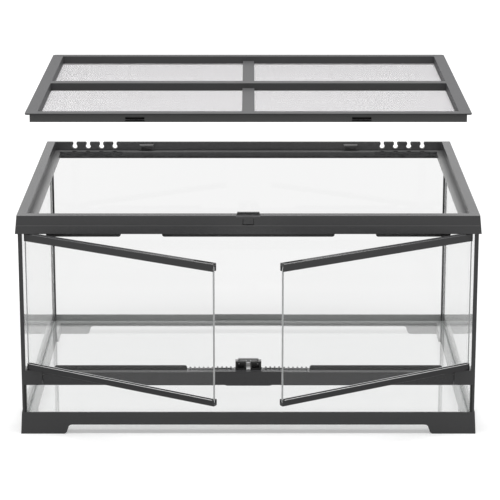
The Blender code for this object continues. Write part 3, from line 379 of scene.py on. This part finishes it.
FRAME = plastic("frame_grey", GREY, SATIN)
BASE = plastic("base_grey", GREY, SATIN, painted_shade_and_light=[(0.42, BASE_INSIDE_REFLECTION)])
TOP_FRAME = plastic(
    "top_frame_grey",
    GREY,
    SATIN,
    painted_shade_and_light=[(SHADE_BLACK, STOPS_ABOVE_SHADE), (0.30, TAB_TOPS_HIGHLIGHT), (0.16, LID_SEAT_HIGHLIGHT), (SHADE_BLACK, FRONT_PAD_SHADE)],
)
SILL = plastic(
    "sill_grey",
    SILL_SHADED_GREY,
    SATIN,
    painted_shade_and_light=[(SHADE_BLACK, STOPS_BELOW_SHADE), (0.95, RAMP_HIGHLIGHT), (0.17, SILL_SHELF_HIGHLIGHT)],
)
SILL_END = plastic("sill_end_grey", GREY, SATIN, painted_shade_and_light=[(SHADE_BLACK, SILL_JOINT_SHADE)])
LOWER_POST = plastic("lower_post_grey", GREY, SATIN, painted_shade_and_light=[(SHADE_BLACK, POST_INNER_SHADE)])
LID = plastic(
    "lid_grey",
    (0.080, 0.080, 0.082),
    0.48,
    gleam=0.15,
    painted_shade_and_light=[
        (SKIRT_PAINTED_LIGHT, SKIRT_FRONT_LIGHT),
        (SKIRT_PAINTED_LIGHT, SKIRT_REAR_LIGHT),
        (SKIRT_PAINTED_LIGHT, SKIRT_SIDE_LIGHT),
        (DEEP_SHADE_BLACK, SLOT_INSIDE_SHADE),
    ],
)
RAIL = plastic("rail_grey", (0.050, 0.050, 0.052), 0.20, grain=0.1)
BOTTOM_RAIL = plastic(
    "bottom_rail_grey",
    (0.060, 0.060, 0.062),
    0.35,
    grain=0.1,
    gleam=0.22,
    painted_shade_and_light=[(DEEP_SHADE_BLACK, RAIL_TOP_SHADE)],
)
LOCK = plastic(
    "lock_black",
    (0.030, 0.030, 0.030),
    0.40,
    painted_shade_and_light=[(0.0005, LOCK_WINDOW_SHADE), (0.25, LOCK_TOP_HIGHLIGHT)],
)
CAP = plastic("cap_grey", (0.300, 0.300, 0.302), 0.32)
# Glazing beads whose pale grey is a painted highlight along the rails' lips
BEAD_HIGHLIGHT = plastic("pale_bead_highlight", (0.80, 0.80, 0.80), 0.25)
PANE = glass("pane_glass", 0.32)
FLOOR_PANE = glass("floor_pane_glass", 1.0)
EDGE = ground_edge("pane_edge")
SILICONE = rubber("black_silicone", (0.018, 0.018, 0.019))
WIRE = metal("screen_wire", (0.385, 0.375, 0.385), 0.35, (1.0, 1.0, 1.0))
STEEL = metal("bright_steel", (0.66, 0.66, 0.67), 0.22, (1.0, 1.0, 0.05))
DARK_STEEL = metal("dark_steel", (0.020, 0.020, 0.021), 0.45, (0.05, 1.0, 1.0))

LOOKS = {
    "frame_plastic": FRAME,
    "lid_plastic": LID,
    "rail_plastic": RAIL,
    "lock_plastic": LOCK,
    "cap_plastic": CAP,
    "tank_glass": PANE,
    "silicone": SILICONE,
    "screen_wire": WIRE,
    "steel": STEEL,
    "dark_steel": DARK_STEEL,
}
OWN_LOOKS = {
    "base_frame": BASE,
    "top_frame": TOP_FRAME,
    "front_sill": SILL,
    "left_bottom_rail": BOTTOM_RAIL,
    "right_bottom_rail": BOTTOM_RAIL,
    "left_sill_end": SILL_END,
    "right_sill_end": SILL_END,
    "left_lower_post": LOWER_POST,
    "right_lower_post": LOWER_POST,
}


def dress_nodes():
    """Materials for the CAD nodes, by node or by slot."""
    for part in frame["record"]["subparts"]:
        look = OWN_LOOKS.get(part["node"], LOOKS[part["material_slot"]])
        for slot in frame["nodes"][part["node"]].material_slots:
            slot.material = look


# Glass panes with ground edges


def door_frame(side):
    """The frame of a door's hinge, with the door at rest."""
    return Matrix.Translation((side * HINGE_X, HINGE_Y, 0)) @ Matrix.Rotation(side * DOOR_OPEN, 4, "Z")


def door_span(side, near, far):
    """Low and high x in a door's frame for two distances from its hinge."""
    return sorted((-side * near, -side * far))


def pane(node, body, low, high, thin_axis, clear=PANE, place=Matrix.Identity(4)):
    """A pane between two corners, with its arrises ground off. Its wide faces are clear."""
    size = [b - a for a, b in zip(low, high)]
    middle = [(a + b) / 2 for a, b in zip(low, high)]
    work = bmesh.new()
    bmesh.ops.create_cube(work, size=1.0)
    bmesh.ops.scale(work, vec=size, verts=work.verts)
    bmesh.ops.bevel(
        work,
        geom=list(work.edges),
        offset=ARRIS,
        offset_type="OFFSET",
        segments=1,
        affect="EDGES",
    )
    bmesh.ops.translate(work, vec=middle, verts=work.verts)
    for face in work.faces:
        face.material_index = 0 if abs(face.normal[thin_axis]) > WIDE_FACE else 1
    bmesh.ops.transform(work, matrix=place, verts=work.verts)
    name = f"{node}_pane"
    mesh = bpy.data.meshes.new(name)
    work.to_mesh(mesh)
    work.free()
    mesh.materials.append(clear)
    mesh.materials.append(EDGE)
    obj = new_object(name, mesh)
    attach(obj, body)
    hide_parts(node)


def tank_panes():
    upright = {"rear_glass": 1, "left_glass": 0, "right_glass": 0, "lower_front_glass": 1}
    pane("bottom_glass", "cabinet", *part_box("bottom_glass"), 2, clear=FLOOR_PANE)
    for node, thin_axis in upright.items():
        pane(node, "cabinet", *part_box(node), thin_axis)


def door_panes():
    for side, word in SIDES:
        node = f"{word}_door_glass"
        low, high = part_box(node)
        start, end = door_span(side, DOOR_GLASS_NEAR, DOOR_GLASS_FAR)
        first = (start, -DOOR_GLASS_HALF, low[2])
        last = (end, DOOR_GLASS_HALF, high[2])
        pane(node, f"{word}_door", first, last, 1, place=door_frame(side))


# Round pieces


def ring(along, station, across, height, radius, sides):
    """Points round an axis that runs along x (along is 0) or y (along is 1)."""
    points = []
    for k in range(sides):
        angle = 2 * math.pi * k / sides
        point = Vector((0.0, 0.0, height + radius * math.sin(angle)))
        point[along] = station
        point[1 - along] = across + radius * math.cos(angle)
        points.append(point)
    return points


def round_piece(name, rods, sharp_degrees, material):
    """An object from closed rods, shaded smooth along their sides. Each is a list of rings of points."""
    points = []
    faces = []
    for rings in rods:
        sides = len(rings[0])
        first = len(points)
        for points_round in rings:
            points.extend(tuple(point) for point in points_round)
        last = len(points) - sides
        for low in range(first, last, sides):
            for k in range(sides):
                m = (k + 1) % sides
                faces.append((low + k, low + m, low + sides + m, low + sides + k))
        faces.append(tuple(range(first, first + sides)))
        faces.append(tuple(reversed(range(last, last + sides))))
    mesh = bpy.data.meshes.new(name)
    mesh.from_pydata(points, [], faces)
    work = bmesh.new()
    work.from_mesh(mesh)
    bmesh.ops.recalc_face_normals(work, faces=work.faces)
    work.to_mesh(mesh)
    work.free()
    mesh.shade_smooth()
    mesh.set_sharp_from_angle(angle=math.radians(sharp_degrees))
    return new_object(name, mesh, material)


def bead(name, start, end, y, z, body, place):
    """A round bead along a rail, with eased ends."""
    path = [(start + step, share) for step, share in BEAD_ENDS]
    path += [(start + (end - start) * share, 1.0) for share in BEAD_STATIONS]
    path += [(end - step, share) for step, share in reversed(BEAD_ENDS)]
    rings = []
    for x, share in path:
        points = ring(0, x, y, z, BEAD_RADIUS * share, BEAD_SIDES)
        rings.append([place @ point for point in points])
    obj = round_piece(name, [rings], BEAD_SHARP_DEGREES, BEAD_HIGHLIGHT)
    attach(obj, body)


def door_beads():
    """Beads on the lips of each bottom rail, in front of the glass and behind it. Their pale grey is a
    painted highlight along the lips.
    """
    for side, word in SIDES:
        start, end = door_span(side, BEAD_NEAR, BEAD_FAR)
        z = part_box(f"{word}_bottom_rail")[1][2] - BEAD_DROP
        for place, y in (("front", -BEAD_SET_OUT), ("back", BEAD_SET_OUT)):
            bead(f"{word}_{place}_bead", start, end, y, z, f"{word}_door", door_frame(side))


# Wire screen


def wires(name, low, high, z, along):
    """Straight drawn wires side by side, along x (along is 0) or y (along is 1)."""
    across = 1 - along
    count = int((high[across] - low[across]) / WIRE_PITCH)
    start = (low[across] + high[across] - count * WIRE_PITCH) / 2
    rods = []
    for i in range(count + 1):
        center = start + WIRE_PITCH * i
        ends = (low[along], high[along])
        rods.append([ring(along, end, center, z, WIRE_RADIUS, WIRE_SIDES) for end in ends])
    obj = round_piece(name, rods, WIRE_SHARP_DEGREES, WIRE)
    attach(obj, "lid")
    return obj


def hem(low, high):
    """The black hem that the net is clamped by, between the lid's inner wall and its retainer."""
    edge = SCREEN_MARGIN - HEM_GAP
    rings = []
    work = bmesh.new()
    for grow, z in ((edge, low[2]), (edge, high[2]), (-HEM_OVERLAP, high[2]), (-HEM_OVERLAP, low[2])):
        corners = [(low[0] - grow, low[1] - grow), (high[0] + grow, low[1] - grow)]
        corners += [(high[0] + grow, high[1] + grow), (low[0] - grow, high[1] + grow)]
        rings.append([work.verts.new((x, y, z)) for x, y in corners])
    for i in range(4):
        one, other = rings[i], rings[(i + 1) % 4]
        for k in range(4):
            m = (k + 1) % 4
            work.faces.new((one[k], one[m], other[m], other[k]))
    bmesh.ops.recalc_face_normals(work, faces=work.faces)
    mesh = bpy.data.meshes.new("screen_hem")
    work.to_mesh(mesh)
    work.free()
    obj = new_object("screen_hem", mesh, SILICONE)
    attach(obj, "lid")


def screen():
    """The net in two crossed layers of wires, and its hem."""
    low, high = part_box("lid_screen")
    middle = (low[2] + high[2]) / 2
    low = (low[0] + SCREEN_MARGIN, low[1] + SCREEN_MARGIN, low[2])
    high = (high[0] - SCREEN_MARGIN, high[1] - SCREEN_MARGIN, high[2])
    lengthwise = wires("screen_long_wires", low, high, middle + WIRE_RADIUS, 0)
    wires("screen_cross_wires", low, high, middle - WIRE_RADIUS, 1)
    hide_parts("lid_screen")
    hem(low, high)


# Stage


def floor_look():
    """White to the eye, less the light that the object keeps from it, so that it shows a soft shadow.

    Its own glow is less by what it would reflect if the object weren't there. The object itself is lit
    by the floor only as by a plain pale one.
    """
    nodes = Nodes("floor_white")
    nodes.tree.nodes.remove(nodes.shader)
    diffuse = nodes.add("ShaderNodeBsdfDiffuse")
    glow = nodes.add("ShaderNodeEmission")
    both = nodes.add("ShaderNodeAddShader")
    seen = nodes.add("ShaderNodeLightPath")
    behind = nodes.number("MAXIMUM", seen.outputs["Is Glossy Ray"], seen.outputs["Is Transmission Ray"])
    shown = nodes.number("MAXIMUM", seen.outputs["Is Camera Ray"], behind)
    square = nodes.add("ShaderNodeVectorMath", operation="DOT_PRODUCT")
    nodes.link(nodes.position(), square.inputs[0])
    nodes.link(nodes.position(), square.inputs[1])
    reach = FLOOR_LIGHT_REACH**2
    fall = nodes.number("DIVIDE", reach, nodes.number("ADD", square.outputs["Value"], reach))
    light = nodes.number("MULTIPLY_ADD", nodes.number("MULTIPLY", fall, fall), FLOOR_LIGHT, WORLD_LIGHT)
    more = FLOOR_PALE_SEEN - FLOOR_PALE
    pale = nodes.number("MULTIPLY_ADD", seen.outputs["Is Camera Ray"], more, FLOOR_PALE)
    less = FLOOR_WHITE_BEHIND - FLOOR_WHITE
    white = nodes.number("MULTIPLY_ADD", behind, less, FLOOR_WHITE)
    rest = nodes.number("SUBTRACT", white, nodes.number("MULTIPLY", pale, light))
    nodes.link(pale, diffuse.inputs["Color"])
    nodes.link(nodes.number("MULTIPLY", rest, shown), glow.inputs["Strength"])
    nodes.link(diffuse.outputs["BSDF"], both.inputs[0])
    nodes.link(glow.outputs["Emission"], both.inputs[1])
    nodes.link(both.outputs["Shader"], nodes.output.inputs["Surface"])
    return nodes.material


def floor():
    corners = [(x * FLOOR_HALF, y * FLOOR_HALF, FLOOR_Z) for x, y in ((-1, -1), (1, -1), (1, 1), (-1, 1))]
    mesh = bpy.data.meshes.new("floor")
    mesh.from_pydata(corners, [], [(0, 1, 2, 3)])
    new_object("floor", mesh, floor_look())


def studio():
    """A world that is white to the eye, to mirrors and through glass, and lights the object softly."""
    world = bpy.data.worlds.new("studio")
    bpy.context.scene.world = world
    world.use_nodes = True
    tree = world.node_tree
    back = tree.nodes["Background"]
    back.inputs["Color"].default_value = (1.0, 1.0, 1.0, 1.0)
    path = tree.nodes.new("ShaderNodeLightPath")
    level = tree.nodes.new("ShaderNodeMapRange")
    level.inputs["To Min"].default_value = 1.0
    level.inputs["To Max"].default_value = WORLD_LIGHT
    tree.links.new(path.outputs["Is Diffuse Ray"], level.inputs["Value"])
    tree.links.new(level.outputs["Result"], back.inputs["Strength"])


def overhead_lamp():
    """A wide soft box above the object, facing down."""
    data = bpy.data.lights.new("overhead", "AREA")
    data.shape = "RECTANGLE"
    data.size, data.size_y = LAMP_SIZE
    data.energy = LAMP_WATTS
    lamp = bpy.data.objects.new("overhead", data)
    lamp.location = LAMP_PLACE
    lamp.visible_camera = False
    lamp.visible_transmission = False
    bpy.context.scene.collection.objects.link(lamp)


def camera():
    data = bpy.data.cameras.new("camera")
    data.lens = FOCAL_MM
    data.sensor_width = SENSOR_MM
    data.clip_start = CLIP_NEAR
    data.clip_end = CLIP_FAR
    cam = bpy.data.objects.new("camera", data)
    cam.location = CAMERA_PLACE
    cam.rotation_euler = (math.radians(90 - PITCH_DEGREES), 0.0, 0.0)
    bpy.context.scene.collection.objects.link(cam)
    bpy.context.scene.camera = cam


dress_nodes()
tank_panes()
door_panes()
door_beads()
screen()
floor()
studio()
overhead_lamp()
camera()
bpy.context.scene.view_settings.view_transform = "Standard"
